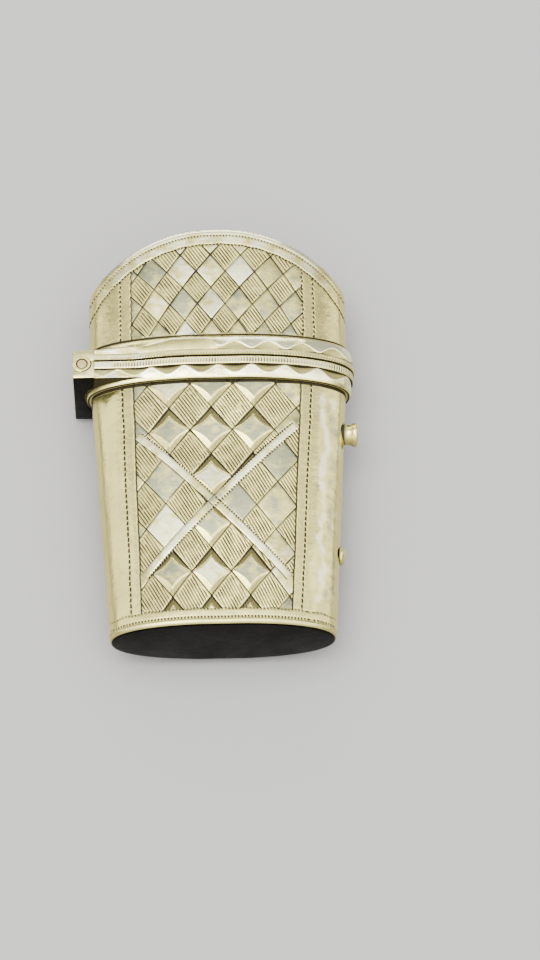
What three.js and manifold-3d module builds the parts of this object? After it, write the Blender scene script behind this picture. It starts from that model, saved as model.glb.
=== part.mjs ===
// Pocket toothpick case in silver: a tapered oval body with an arched lid, a five-knuckle side hinge
// and a sprung catch worked by a push button.
// Millimetres. The origin is the centre of the base's outer face. +Y runs up to the lid,
// +Z comes out of the engraved front and +X points to the push button.

import * as THREE from 'three';
import { mergeVertices } from 'three/addons/utils/BufferGeometryUtils.js';
import Module from 'manifold-3d';

const wasm = await Module();
wasm.setup();

// Oval section
const ROUNDNESS = 2.3; // exponent of the oval: 2 is an ellipse, more is squarer
const FLAT_SHARE = 0.2; // share of the width that is flat in the middle of front and back
const OVAL_STEPS = 72;
const BAND_STEPS = 90;

// Body
const BASE_WIDTH = 27.2;
const BASE_DEPTH = 9.2;
const MOUTH_WIDTH = 31.8;
const MOUTH_DEPTH = 9.5;
const MOUTH_HEIGHT = 37.05;
const BODY_WALL = 0.6;
const BASE_THICKNESS = 0.7;
const SEAT_GAP = 0.03; // between pieces that are soldered together
const CUT_MARGIN = 1; // how far a cutting tool runs past what it cuts

// Collar inside the mouth
const COLLAR_WALL = 0.4;
const COLLAR_DEPTH = 3.5;
const COLLAR_RISE = 2.2;

// Lid
const LID_CLEARANCE = 0.19; // between the collar and the lid's wall
const LID_WALL = 0.55;
const LID_SIDE_HEIGHT = 11.5;
const CROWN_RISE = 7.7;
const LID_TOP_THICKNESS = 0.6;
const JOINT_GAP = 0.08;
const ARCH_STEPS = 40;

// Rim bands
const STRIP_PROUD = 0.85;
const GROOVE_DEPTH = 0.15;
const GROOVE_WIDTH = 0.12;
const CREST_PROUD = 0.8;
const BODY_BAND = { height: 2.95, strip: 1.1, edgeProud: 0.42 };
const LID_BAND = { height: 3.02, strip: 0.67, edgeProud: 0.35 };
const BAND_EDGE_RISE = 0.35; // height of the band's thin edge
const CREST_SHARE = 0.5; // where the crest lies between the thin edge and the groove
const SCALLOPS = 18;
const SCOOP_DEPTH = 0.3;

// Hinge
const PIN_STANDOFF = 0.8; // from the mouth's side wall to the pin's axis
const PIN_DROP = 0.35; // from the body's rim down to the pin's axis
const PIN_DIAMETER = 1.2;
const PIN_SEAT = 0.02;
const PIN_PLAY = 0.05;
const KNUCKLE_DIAMETER = 2.3;
const KNUCKLE_COUNT = 5;
const KNUCKLE_GAP = 0.05;
const KNUCKLE_CHAMFER = 0.06;
const HINGE_LENGTH = 9.7;
const HINGE_CLEARANCE = 0.06;
const BEARER_REACH = 6.2; // from the pin's axis towards the middle of the case
const LID_BEARER_HEIGHT = 1.5;
const BODY_BEARER_HEIGHT = 2.4;
const BEARER_ROUND = 0.7;
const HINGE_STEPS = 32;

// Push button
const BUTTON_HEIGHT = 28.7;
const BUTTON_STANDOFF = 1.62; // from the wall to the button's end
const BUTTON_DIAMETER = 3.0;
const BUTTON_HEAD = 0.55;
const BUTTON_EDGE = 0.12;
const NECK_DIAMETER = 2.6;
const NECK_WAIST = 0.12;
const BUTTON_PLAY = 0.15;
const BUTTON_STEPS = 28;

// Leaf spring and its rivet
const RIVET_HEIGHT = 11.5;
const RIVET_HEAD_DIAMETER = 2.3;
const RIVET_HEAD_RISE = 0.7;
const SHANK_DIAMETER = 1.0;
const UPSET_DIAMETER = 1.6;
const UPSET_THICKNESS = 0.35;
const RIVET_PLAY = 0.12;
const RIVET_STEPS = 24;
const LEAF_THICKNESS = 0.35;
const LEAF_FOOT = 1.9; // below the rivet
const LEAF_FOOT_WIDTH = 1.8;
const LEAF_TOP_WIDTH = 1.4;
const LEAF_SETBACK = 0.25; // from the wall, at the rivet
const LEAF_RISE = 1.85; // above the body's rim
const LEAF_TO_COLLAR = 0.26;

// Hook and keeper
const HOOK_REACH = 0.6;
const HOOK_HEIGHT = 0.65;
const HOOK_WIDTH = 1.2;
const HOOK_GAP = 0.07;
const CATCH_BITE = 0.3; // how far the hook lies over the keeper
const KEEPER_WIDTH = 1.7;
const KEEPER_HEIGHT = 0.85;
const SLOT_MARGIN = 0.25;

// Worked out from the sizes above
const lidBase = MOUTH_HEIGHT + JOINT_GAP;
const collarOuter = BODY_WALL + SEAT_GAP;
const collarInner = collarOuter + COLLAR_WALL;
const lidStep = LID_CLEARANCE + LID_WALL - collarOuter;
const lidHalfWidth = MOUTH_WIDTH / 2 + lidStep;
const lidHalfDepth = MOUTH_DEPTH / 2 + lidStep;
const shoulderHeight = MOUTH_HEIGHT + LID_SIDE_HEIGHT;
const crownHeight = shoulderHeight + CROWN_RISE;
const archRadius = (CROWN_RISE ** 2 + lidHalfWidth ** 2) / (2 * CROWN_RISE);
const pinX = -MOUTH_WIDTH / 2 - PIN_STANDOFF;
const pinY = MOUTH_HEIGHT - PIN_DROP;
const knuckleRadius = KNUCKLE_DIAMETER / 2;
const hingeRadius = knuckleRadius + HINGE_CLEARANCE;

// Half-width and half-depth of the body and of the lid at a height
function bodySection(y) {
  const share = THREE.MathUtils.clamp(y / MOUTH_HEIGHT, 0, 1);
  return [
    THREE.MathUtils.lerp(BASE_WIDTH, MOUTH_WIDTH, share) / 2,
    THREE.MathUtils.lerp(BASE_DEPTH, MOUTH_DEPTH, share) / 2,
  ];
}

function lidSection() {
  return [lidHalfWidth, lidHalfDepth];
}

const bodySide = (y) => bodySection(y)[0];

// Leaf spring: a straight line from the rivet to the collar, and the frame that it lies in
const leafTop = MOUTH_HEIGHT + LEAF_RISE;
const leafFoot = RIVET_HEIGHT - LEAF_FOOT;
const leafAtRivet = bodySide(RIVET_HEIGHT) - BODY_WALL - LEAF_SETBACK;
const leafAtTop = MOUTH_WIDTH / 2 - collarInner - LEAF_TO_COLLAR;
const leafAngle = Math.atan2(leafAtTop - leafAtRivet, leafTop - RIVET_HEIGHT);
const leafLength = (leafTop - leafFoot) / Math.cos(leafAngle);
const alongLeaf = (height) => (height - leafFoot) / Math.cos(leafAngle);
const leafOrigin = new THREE.Vector3(
  leafAtRivet - LEAF_FOOT * Math.tan(leafAngle),
  leafFoot,
  0,
);

const silver = { color: 0xd9d2b4, roughness: 0.3, metalness: 1 };
const darkSilver = { color: 0x8d8676, roughness: 0.45, metalness: 1 };
const pinMetal = { color: 0xb9a46a, roughness: 0.4, metalness: 1 };
const springMetal = { color: 0x9a9a92, roughness: 0.35, metalness: 1 };

// A geometry as a solid, and a solid as a geometry
function solidOf(geometry) {
  const bare = geometry.clone();
  bare.deleteAttribute('normal');
  bare.deleteAttribute('uv');
  const merged = mergeVertices(bare, 1e-5);
  return new wasm.Manifold(
    new wasm.Mesh({
      numProp: 3,
      vertProperties: merged.attributes.position.array,
      triVerts: new Uint32Array(merged.index.array),
    }),
  );
}

function geometryOf(solid) {
  const mesh = solid.getMesh();
  const geometry = new THREE.BufferGeometry();
  geometry.setAttribute('position', new THREE.BufferAttribute(mesh.vertProperties, 3));
  geometry.setIndex(new THREE.BufferAttribute(mesh.triVerts, 1));
  return geometry;
}

// Ovals: a profile of [height proud of the wall, y] is turned as on a lathe, anticlockwise seen with
// the wall at its left, and its round form is then wrapped onto the case's section.
const HUB = 20;
const ON_AXIS = -HUB;

const flatLevel = (1 - FLAT_SHARE ** ROUNDNESS) ** (1 / ROUNDNESS);

function power(value) {
  return Math.sign(value) * Math.abs(value) ** (2 / ROUNDNESS);
}

function widthShare(turn) {
  return power(Math.sin(turn));
}

function depthShare(turn) {
  return THREE.MathUtils.clamp(power(Math.cos(turn)) / flatLevel, -1, 1);
}

function ovalTurn(section, profile, steps = OVAL_STEPS, carve = (proud) => proud) {
  const points = profile.map(([proud, y]) => new THREE.Vector2(HUB + proud, y));
  const geometry = new THREE.LatheGeometry(points, steps, Math.PI / steps);
  const position = geometry.attributes.position;
  for (let i = 0; i < position.count; i++) {
    const y = position.getY(i);
    const turn = Math.atan2(position.getX(i), position.getZ(i));
    const radius = Math.hypot(position.getX(i), position.getZ(i));
    if (radius < 1) {
      continue;
    }
    const [halfWidth, halfDepth] = section(y);
    const proud = carve(radius - HUB, y, turn);
    position.setX(i, (halfWidth + proud) * widthShare(turn));
    position.setZ(i, (halfDepth + proud) * depthShare(turn));
  }
  return solidOf(geometry);
}

function ovalRing(section, profile, steps, carve) {
  return ovalTurn(section, [...profile, profile[0]], steps, carve);
}

function ovalTube(section, bottom, top, inner, outer) {
  return ovalRing(section, [
    [inner, bottom],
    [outer, bottom],
    [outer, top],
    [inner, top],
  ]);
}

function ovalPlug(section, bottom, top, proud) {
  return ovalTurn(section, [
    [ON_AXIS, bottom],
    [proud, bottom],
    [proud, top],
    [ON_AXIS, top],
  ]);
}

// Distance round the wall's outline from the middle of the front, at every half step of a band
class WallLine extends THREE.Curve {
  getPoint(share, target = new THREE.Vector3()) {
    const turn = 2 * Math.PI * share;
    const across = (MOUTH_WIDTH / 2) * widthShare(turn);
    return target.set(across, 0, (MOUTH_DEPTH / 2) * depthShare(turn));
  }
}

const wallLengths = new WallLine().getLengths(2 * BAND_STEPS);

function lengthShare(turn) {
  const halfSteps = wallLengths.length - 1;
  const index = Math.round((turn / (2 * Math.PI)) * halfSteps);
  const wrapped = (index + halfSteps) % halfSteps;
  return wallLengths[wrapped] / wallLengths[halfSteps];
}

// Cutting tools
function roundBar(radius, length, steps) {
  return new THREE.CylinderGeometry(radius, radius, length, steps).rotateX(Math.PI / 2);
}

const hingeBore = solidOf(
  roundBar(hingeRadius, HINGE_LENGTH + CUT_MARGIN, HINGE_STEPS).translate(pinX, pinY, 0),
);

function block(x0, x1, y0, y1, z0, z1) {
  const geometry = new THREE.BoxGeometry(x1 - x0, y1 - y0, z1 - z0);
  return solidOf(geometry.translate((x0 + x1) / 2, (y0 + y1) / 2, (z0 + z1) / 2));
}

// The leaf spring's frame: x out through the wall, y along the leaf, from the outside of its foot
const leafFrame = new THREE.Group();
leafFrame.position.copy(leafOrigin);
leafFrame.rotation.z = -leafAngle;
leafFrame.updateMatrixWorld(true);

function acrossLeaf(geometry) {
  return geometry.rotateZ(-Math.PI / 2);
}

function wallBore(diameter, height) {
  const reach = bodySide(height) - leafOrigin.x + CUT_MARGIN;
  const bar = new THREE.CylinderGeometry(diameter / 2, diameter / 2, reach, BUTTON_STEPS);
  acrossLeaf(bar).translate(reach / 2, alongLeaf(height), 0);
  return solidOf(bar.applyMatrix4(leafFrame.matrixWorld));
}

// Body
function makeBodyShell() {
  const wall = ovalTube(bodySection, BASE_THICKNESS + SEAT_GAP, MOUTH_HEIGHT, -BODY_WALL, 0);
  return wall
    .subtract(hingeBore)
    .subtract(wallBore(NECK_DIAMETER + 2 * BUTTON_PLAY, BUTTON_HEIGHT))
    .subtract(wallBore(SHANK_DIAMETER + 2 * SEAT_GAP, RIVET_HEIGHT));
}

function makeBasePlate() {
  return ovalPlug(bodySection, 0, BASE_THICKNESS, 0);
}

// A rim band lies against the wall. From the joint outwards it has a strip for milling, a groove and
// a scalloped moulding that runs out to a thin edge. Direction is 1 up the lid and -1 down the body.
function makeRimBand(section, joint, direction, size) {
  const groove = size.strip + GROOVE_WIDTH;
  const edge = size.height - BAND_EDGE_RISE;
  const crest = THREE.MathUtils.lerp(edge, groove, CREST_SHARE);
  const edgeToCrest = (size.edgeProud + CREST_PROUD) / 2;
  const profile = [
    [SEAT_GAP, 0],
    [STRIP_PROUD, 0],
    [STRIP_PROUD, size.strip],
    [STRIP_PROUD - GROOVE_DEPTH, size.strip + GROOVE_WIDTH / 2],
    [CREST_PROUD, groove],
    [CREST_PROUD, crest],
    [edgeToCrest, edge],
    [size.edgeProud, size.height],
    [SEAT_GAP, size.height],
  ].map(([proud, away]) => [proud, joint + direction * away]);
  if (direction < 0) {
    profile.reverse();
  }
  const scooped = joint + direction * groove;
  const carve = (proud, y, turn) => {
    if (proud < STRIP_PROUD - GROOVE_DEPTH || Math.abs(y - scooped) > GROOVE_WIDTH / 4) {
      return proud;
    }
    const phase = 2 * Math.PI * SCALLOPS * lengthShare(turn);
    return proud - SCOOP_DEPTH * (0.5 + 0.5 * Math.cos(phase));
  };
  return ovalRing(section, profile, BAND_STEPS, carve).subtract(hingeBore);
}

function makeCollar() {
  const bottom = MOUTH_HEIGHT - COLLAR_DEPTH;
  const top = MOUTH_HEIGHT + COLLAR_RISE;
  const ring = ovalTube(bodySection, bottom, top, -collarInner, -collarOuter);
  const half = KEEPER_WIDTH / 2 + SLOT_MARGIN;
  const slotFloor = keeper.bottom - SLOT_MARGIN;
  return ring
    .subtract(hingeBore)
    .subtract(block(0, lidHalfWidth, slotFloor, top + CUT_MARGIN, -half, half));
}

// Hinge: bearers that carry the knuckles out from the rim bands
function bandPlug(section, bottom, top) {
  return ovalPlug(section, bottom, top, STRIP_PROUD + SEAT_GAP);
}

function bearerPrism(outline) {
  const geometry = new THREE.ExtrudeGeometry(outline, {
    depth: HINGE_LENGTH,
    bevelEnabled: false,
    curveSegments: 8,
  });
  return solidOf(geometry.translate(pinX, pinY, -HINGE_LENGTH / 2));
}

function makeLidBearer() {
  const bottom = lidBase - pinY;
  const top = bottom + LID_BEARER_HEIGHT;
  const outline = new THREE.Shape();
  outline.moveTo(-knuckleRadius, 0);
  outline.lineTo(0, 0);
  outline.lineTo(0, bottom);
  outline.lineTo(BEARER_REACH, bottom);
  outline.lineTo(BEARER_REACH, top);
  outline.lineTo(BEARER_ROUND - knuckleRadius, top);
  outline.absarc(
    BEARER_ROUND - knuckleRadius,
    top - BEARER_ROUND,
    BEARER_ROUND,
    Math.PI / 2,
    Math.PI,
    false,
  );
  return bearerPrism(outline)
    .subtract(bandPlug(lidSection, pinY - CUT_MARGIN, lidBase + LID_BAND.height))
    .subtract(hingeBore);
}

function makeBodyBearer() {
  const top = PIN_DROP;
  const bottom = top - BODY_BEARER_HEIGHT;
  const outline = new THREE.Shape();
  outline.moveTo(-knuckleRadius, bottom);
  outline.lineTo(BEARER_REACH, bottom);
  outline.lineTo(BEARER_REACH, top);
  outline.lineTo(0, top);
  outline.lineTo(0, -hingeRadius);
  outline.lineTo(-knuckleRadius, -hingeRadius);
  return bearerPrism(outline)
    .subtract(bandPlug(bodySection, MOUTH_HEIGHT - BODY_BAND.height, MOUTH_HEIGHT + CUT_MARGIN))
    .subtract(hingeBore);
}

const knuckleLength = (HINGE_LENGTH - (KNUCKLE_COUNT - 1) * KNUCKLE_GAP) / KNUCKLE_COUNT;

// The knuckle at a place counted from the front: even places are the lid's, odd ones the body's
function makeKnuckle(place) {
  const play = place % 2 ? PIN_PLAY : PIN_SEAT;
  const bore = PIN_DIAMETER / 2 + play;
  const half = knuckleLength / 2;
  const chamferStart = half - KNUCKLE_CHAMFER;
  const rim = knuckleRadius - KNUCKLE_CHAMFER;
  const profile = [
    [bore, -half],
    [rim, -half],
    [knuckleRadius, -chamferStart],
    [knuckleRadius, chamferStart],
    [rim, half],
    [bore, half],
    [bore, -half],
  ].map(([radius, y]) => new THREE.Vector2(radius, y));
  const middle = HINGE_LENGTH / 2 - half - place * (knuckleLength + KNUCKLE_GAP);
  const tube = new THREE.LatheGeometry(profile, HINGE_STEPS).rotateX(Math.PI / 2);
  return solidOf(tube.translate(pinX, pinY, middle));
}

function makeHingePin() {
  return solidOf(roundBar(PIN_DIAMETER / 2, HINGE_LENGTH, HINGE_STEPS).translate(pinX, pinY, 0));
}

// Lid
function archPrism(radius) {
  const centre = crownHeight - archRadius;
  const halfAngle = Math.asin(Math.min(1, lidHalfWidth / radius));
  const outline = new THREE.Shape();
  outline.moveTo(-lidHalfWidth, MOUTH_HEIGHT - CUT_MARGIN);
  outline.lineTo(lidHalfWidth, MOUTH_HEIGHT - CUT_MARGIN);
  outline.absarc(0, centre, radius, Math.PI / 2 - halfAngle, Math.PI / 2 + halfAngle, false);
  const geometry = new THREE.ExtrudeGeometry(outline, {
    depth: 2 * (lidHalfDepth + CUT_MARGIN),
    bevelEnabled: false,
    curveSegments: ARCH_STEPS,
  });
  return solidOf(geometry.translate(0, 0, -lidHalfDepth - CUT_MARGIN));
}

function makeLidShell() {
  const wall = ovalTube(lidSection, lidBase, crownHeight + CUT_MARGIN, -LID_WALL, 0);
  return wall
    .intersect(archPrism(archRadius - LID_TOP_THICKNESS - SEAT_GAP))
    .subtract(hingeBore);
}

function makeLidTop() {
  const plug = ovalPlug(lidSection, lidBase, crownHeight + CUT_MARGIN, 0);
  return plug
    .intersect(archPrism(archRadius))
    .subtract(archPrism(archRadius - LID_TOP_THICKNESS));
}

// Catch: the keeper is on the lid, and the hook lies over it
const hookNose = new THREE.Vector3(HOOK_REACH, leafLength - HOOK_HEIGHT, 0).applyMatrix4(
  leafFrame.matrixWorld,
);
const keeper = {
  inner: hookNose.x - CATCH_BITE,
  top: hookNose.y - HOOK_GAP,
  bottom: hookNose.y - HOOK_GAP - KEEPER_HEIGHT,
};

function makeKeeper() {
  const half = KEEPER_WIDTH / 2;
  const bar = block(keeper.inner, lidHalfWidth, keeper.bottom, keeper.top, -half, half);
  const inside = ovalPlug(lidSection, lidBase, crownHeight, -LID_WALL - SEAT_GAP);
  return bar.intersect(inside);
}

function makeLeafSpring() {
  const outline = new THREE.Shape();
  outline.moveTo(0, -LEAF_FOOT_WIDTH / 2);
  outline.lineTo(leafLength, -LEAF_TOP_WIDTH / 2);
  outline.lineTo(leafLength, LEAF_TOP_WIDTH / 2);
  outline.lineTo(0, LEAF_FOOT_WIDTH / 2);
  const hole = new THREE.Path();
  hole.absarc(alongLeaf(RIVET_HEIGHT), 0, SHANK_DIAMETER / 2 + RIVET_PLAY, 0, 2 * Math.PI, false);
  outline.holes.push(hole);
  const strip = new THREE.ExtrudeGeometry(outline, {
    depth: LEAF_THICKNESS,
    bevelEnabled: false,
    curveSegments: RIVET_STEPS / 2,
  });
  return solidOf(strip.rotateX(-Math.PI / 2).rotateZ(Math.PI / 2));
}

function turnedAcrossLeaf(profile, height, steps) {
  const points = profile.map(([radius, out]) => new THREE.Vector2(radius, out));
  const turned = new THREE.LatheGeometry(points, steps);
  return acrossLeaf(turned).translate(0, alongLeaf(height), 0);
}

// How far out from the leaf's outer face the body's wall lies at a height
function wallOut(height) {
  const leafX = leafOrigin.x + (height - leafFoot) * Math.tan(leafAngle);
  return (bodySide(height) - leafX) / Math.cos(leafAngle);
}

function makePushButton() {
  const neck = NECK_DIAMETER / 2;
  const head = BUTTON_DIAMETER / 2;
  const wall = wallOut(BUTTON_HEIGHT);
  const end = wall + BUTTON_STANDOFF;
  const geometry = turnedAcrossLeaf(
    [
      [0, SEAT_GAP],
      [neck, SEAT_GAP],
      [neck, wall - BODY_WALL],
      [neck - NECK_WAIST, wall],
      [neck, end - 1.5 * BUTTON_HEAD],
      [head, end - BUTTON_HEAD],
      [head, end - BUTTON_EDGE],
      [head - BUTTON_EDGE, end],
      [0, end],
    ],
    BUTTON_HEIGHT,
    BUTTON_STEPS,
  );
  return solidOf(geometry);
}

function makeHook() {
  const half = HOOK_WIDTH / 2;
  return block(SEAT_GAP, HOOK_REACH, leafLength - HOOK_HEIGHT, leafLength, -half, half);
}

// The rivet's head is domed, and its underside is filed to the curve of the wall
function makeRivet() {
  const shank = SHANK_DIAMETER / 2;
  const head = RIVET_HEAD_DIAMETER / 2;
  const upset = UPSET_DIAMETER / 2;
  const wall = wallOut(RIVET_HEIGHT);
  const upsetFace = -LEAF_THICKNESS - RIVET_PLAY;
  const dome = [0.25, 0.5, 0.75, 1].map((share) => {
    const angle = (share * Math.PI) / 2;
    return [head * Math.cos(angle), wall + RIVET_HEAD_RISE * Math.sin(angle)];
  });
  const turned = solidOf(
    turnedAcrossLeaf(
      [
        [0, upsetFace - UPSET_THICKNESS],
        [upset, upsetFace - UPSET_THICKNESS],
        [upset, upsetFace],
        [shank, upsetFace],
        [shank, wall - BODY_WALL],
        [head, wall - BODY_WALL],
        [head, wall],
        ...dome.slice(0, -1),
        [0, wall + RIVET_HEAD_RISE],
      ],
      RIVET_HEIGHT,
      RIVET_STEPS,
    ).applyMatrix4(leafFrame.matrixWorld),
  );
  const body = ovalPlug(bodySection, BASE_THICKNESS, MOUTH_HEIGHT, SEAT_GAP);
  const shankHole = wallBore(SHANK_DIAMETER, RIVET_HEIGHT);
  const inner = ovalPlug(bodySection, BASE_THICKNESS, MOUTH_HEIGHT, -BODY_WALL - SEAT_GAP);
  return turned.subtract(body.subtract(shankHole).subtract(inner));
}

// The assembly. The lid turns about the pin, and the catch about the foot of its leaf.
const group = new THREE.Group();
group.name = 'toothpick_case';
const body = new THREE.Group();
const lid = new THREE.Group();
lid.position.set(pinX, pinY, 0);
const catchParts = leafFrame;
group.add(body, lid, catchParts);

function addPiece(parent, name, solid, look) {
  const geometry = geometryOf(solid);
  if (parent === lid) {
    geometry.translate(-pinX, -pinY, 0);
  }
  const mesh = new THREE.Mesh(geometry, new THREE.MeshStandardMaterial(look));
  mesh.name = name;
  parent.add(mesh);
}

addPiece(body, 'body_shell', makeBodyShell(), silver);
addPiece(body, 'base_plate', makeBasePlate(), darkSilver);
addPiece(body, 'body_rim_band', makeRimBand(bodySection, MOUTH_HEIGHT, -1, BODY_BAND), silver);
addPiece(body, 'mouth_collar', makeCollar(), silver);
addPiece(body, 'body_hinge_bearer', makeBodyBearer(), silver);
addPiece(body, 'spring_rivet', makeRivet(), silver);
addPiece(lid, 'lid_shell', makeLidShell(), silver);
addPiece(lid, 'lid_top_plate', makeLidTop(), silver);
addPiece(lid, 'lid_rim_band', makeRimBand(lidSection, lidBase, 1, LID_BAND), silver);
addPiece(lid, 'lid_hinge_bearer', makeLidBearer(), silver);
addPiece(lid, 'hinge_pin', makeHingePin(), pinMetal);
addPiece(lid, 'catch_keeper', makeKeeper(), silver);
addPiece(catchParts, 'leaf_spring', makeLeafSpring(), springMetal);
addPiece(catchParts, 'push_button', makePushButton(), silver);
addPiece(catchParts, 'spring_hook', makeHook(), springMetal);

for (let place = 0; place < KNUCKLE_COUNT; place++) {
  const parent = place % 2 ? body : lid;
  const owner = place % 2 ? 'body' : 'lid';
  const name = `${owner}_hinge_knuckle_${Math.floor(place / 2) + 1}`;
  addPiece(parent, name, makeKnuckle(place), silver);
}

export default group;
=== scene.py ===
import math
from types import SimpleNamespace

import bpy
import numpy as np
from mathutils import Matrix, Vector


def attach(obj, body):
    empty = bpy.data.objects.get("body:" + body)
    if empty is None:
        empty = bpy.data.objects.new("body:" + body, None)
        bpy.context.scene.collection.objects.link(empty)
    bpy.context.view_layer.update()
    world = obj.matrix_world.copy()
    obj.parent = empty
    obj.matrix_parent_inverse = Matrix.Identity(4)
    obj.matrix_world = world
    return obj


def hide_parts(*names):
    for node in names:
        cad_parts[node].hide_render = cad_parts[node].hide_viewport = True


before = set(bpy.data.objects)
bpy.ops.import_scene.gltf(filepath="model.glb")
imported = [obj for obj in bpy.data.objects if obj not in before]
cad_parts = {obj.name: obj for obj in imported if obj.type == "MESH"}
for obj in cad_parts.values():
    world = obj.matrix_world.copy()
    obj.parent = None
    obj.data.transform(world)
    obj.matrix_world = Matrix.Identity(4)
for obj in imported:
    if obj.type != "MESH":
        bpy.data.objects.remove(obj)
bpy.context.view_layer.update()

# Sizes are in millimetres, in the frame of the solids: +Y runs up to the lid, +Z out of the front
MM = 0.001
SKIN_INSET = 0.02  # keeps the round skins inside the solids' facets
SEAT_GAP = 0.03  # between pieces that are soldered together

# Oval section
ROUNDNESS = 2.3  # exponent of the oval
FLAT_SHARE = 0.2  # share of the width that is flat in the middle of front and back
FLAT_LEVEL = (1 - FLAT_SHARE**ROUNDNESS) ** (1 / ROUNDNESS)

# Body
BASE_WIDTH = 27.2
BASE_DEPTH = 9.2
MOUTH_WIDTH = 31.8
MOUTH_DEPTH = 9.5
MOUTH_HEIGHT = 37.05
BODY_WALL = 0.6
BASE_THICKNESS = 0.7

# Lid
LID_CLEARANCE = 0.19
LID_WALL = 0.55
LID_STEP = LID_CLEARANCE + LID_WALL - BODY_WALL - SEAT_GAP
LID_HALF_WIDTH = MOUTH_WIDTH / 2 + LID_STEP
LID_HALF_DEPTH = MOUTH_DEPTH / 2 + LID_STEP
JOINT_GAP = 0.08
LID_BASE = MOUTH_HEIGHT + JOINT_GAP
LID_SIDE_HEIGHT = 11.5
CROWN_RISE = 7.7
CROWN_HEIGHT = MOUTH_HEIGHT + LID_SIDE_HEIGHT + CROWN_RISE
ARCH_RADIUS = (CROWN_RISE**2 + LID_HALF_WIDTH**2) / (2 * CROWN_RISE)
ARCH_CENTRE = CROWN_HEIGHT - ARCH_RADIUS
LID_TOP_THICKNESS = 0.6

# Hinge
PIN_X = -MOUTH_WIDTH / 2 - 0.8
PIN_Y = MOUTH_HEIGHT - 0.35
PIN_RADIUS = 0.59
KNUCKLE_RADIUS = 1.15
HINGE_RADIUS = KNUCKLE_RADIUS + 0.06  # with its clearance
HINGE_LENGTH = 9.7
KNUCKLE_COUNT = 5
KNUCKLE_GAP = 0.05
KNUCKLE_LENGTH = (HINGE_LENGTH - (KNUCKLE_COUNT - 1) * KNUCKLE_GAP) / KNUCKLE_COUNT
LID_BEARER_HEIGHT = 1.5
BODY_BEARER_HEIGHT = 2.4
BEARER_ROUND = 0.7
PIN_FRAME = Matrix.Translation((PIN_X, PIN_Y, 0))

# Catch
BUTTON_HEIGHT = 28.7
BUTTON_STANDOFF = 1.6
BUTTON_HOLE = 1.45
RIVET_HEIGHT = 11.5
RIVET_HOLE = 0.53
LEAF_FOOT_DROP = 1.9  # below the rivet
LEAF_FOOT = RIVET_HEIGHT - LEAF_FOOT_DROP
LEAF_TOP = 38.9
LEAF_AT_RIVET = 13.464  # distances from the case's middle
LEAF_AT_TOP = 14.61
LEAF_ANGLE = math.atan2(LEAF_AT_TOP - LEAF_AT_RIVET, LEAF_TOP - RIVET_HEIGHT)
LEAF_FOOT_X = LEAF_AT_RIVET - LEAF_FOOT_DROP * math.tan(LEAF_ANGLE)

# Rim bands. crease gives how far from the joint the flat ear's edge lies, by x.
BODY_BAND = SimpleNamespace(
    joint=MOUTH_HEIGHT, direction=-1, strip=1.1, height=2.95, edge_proud=0.42, ticks=1.0, scoops=1.0,
    worn=0.0, crease=((-15.2, -10.3, -9.2, -8.4), (2.4, 2.4, 2.55, 2.65)),
)
LID_BAND = SimpleNamespace(
    joint=LID_BASE, direction=1, strip=0.8, height=3.02, edge_proud=0.35, ticks=0.35, scoops=0.8,
    worn=1.0, crease=((-15.2, -9.9, -7.0, -6.0), (1.5, 1.88, 2.45, 2.72)),
)
SCALLOPS = 18
TICK_PITCH = 0.35
TICK = np.array([1.0, 0.5, 0.0, 0.0, 0.5])  # depth of a tick over the points of one pitch
CREST = 0.84  # of the milled strip, proud of the wall
MOULDING = 0.79  # likewise, of the moulding
MOULDING_STEPS = 14
SCOOP_SLOPE = 0.3
EAR_END = -15.2
EAR_DEPTH = 4.0  # of the hinge bearers' front, less the band's own height
EAR_EASE = 0.15

# Engraving
COLUMN_STEP = 0.088
SIDE_COLUMNS = 34
HATCH = np.array([1.0, 0.65, 0.0, 0.0, 0.65])  # depth of a hatching line over the columns of one pitch
PANEL_NARROWING = 0.92  # of the body's front, half way down, against its mouth
BODY_CELL = (5.35, 6.6)
BODY_LATTICE_Y = 26.75
FALLING_BAND = ((-8.56, 26.7), (9.82, 6.6))
RISING_BAND = ((-8.35, 7.1), (9.86, 27.7))
BAND_HALF_WIDTH = 0.51
PANEL_LOW = 2.1  # where the body's panel ends, on the upper of its two edge lines
LID_CELL = (3.43, 4.83)
LID_LATTICE = (-0.69, 50.1)
CELL_LEAN = 0.038  # of a cell's breadth
CELL_CROWN = 0.1
FACET_REACH = 0.2  # of a cell's breadth
FACET_PEAK = 0.22  # where a facet is widest, from -0.5 to 0.5 along the cell's side
# painted shade of a star's four facets, darker on its upper sides, in this order:
FACET_SHADES = (0.48, 0.14, 0.36, 0.5)  # upper right, lower left, lower right and upper left


def smooth(edge0, edge1, value):
    share = np.clip((value - edge0) / (edge1 - edge0), 0, 1)
    return share * share * (3 - 2 * share)


def mix(low, high, share):
    return low * (1 - share) + high * share


def groove(distance, half_width):
    """1 in the middle of a line, falling to 0 at its sides."""
    return np.clip(1 - np.abs(distance) / half_width, 0, 1)


def bell(distance, spread):
    return np.exp(-((distance / spread) ** 2))


def dashes(along, period, share, distance, half_width):
    """A dashed line: 1 in the middle of a dash, 0 outside."""
    ease = 0.06
    half_dash = share * period / 2
    place = np.abs((along / period) % 1 - 0.5) * period
    return groove(distance, half_width) ** 0.5 * smooth(half_dash + ease, half_dash - ease, place)


def scattered(angle):
    """Numbers from -1 to 1 without order, and the same ones each run."""
    value = np.sin(angle) * 43758.5453
    return 2 * (value - np.floor(value)) - 1


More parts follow.
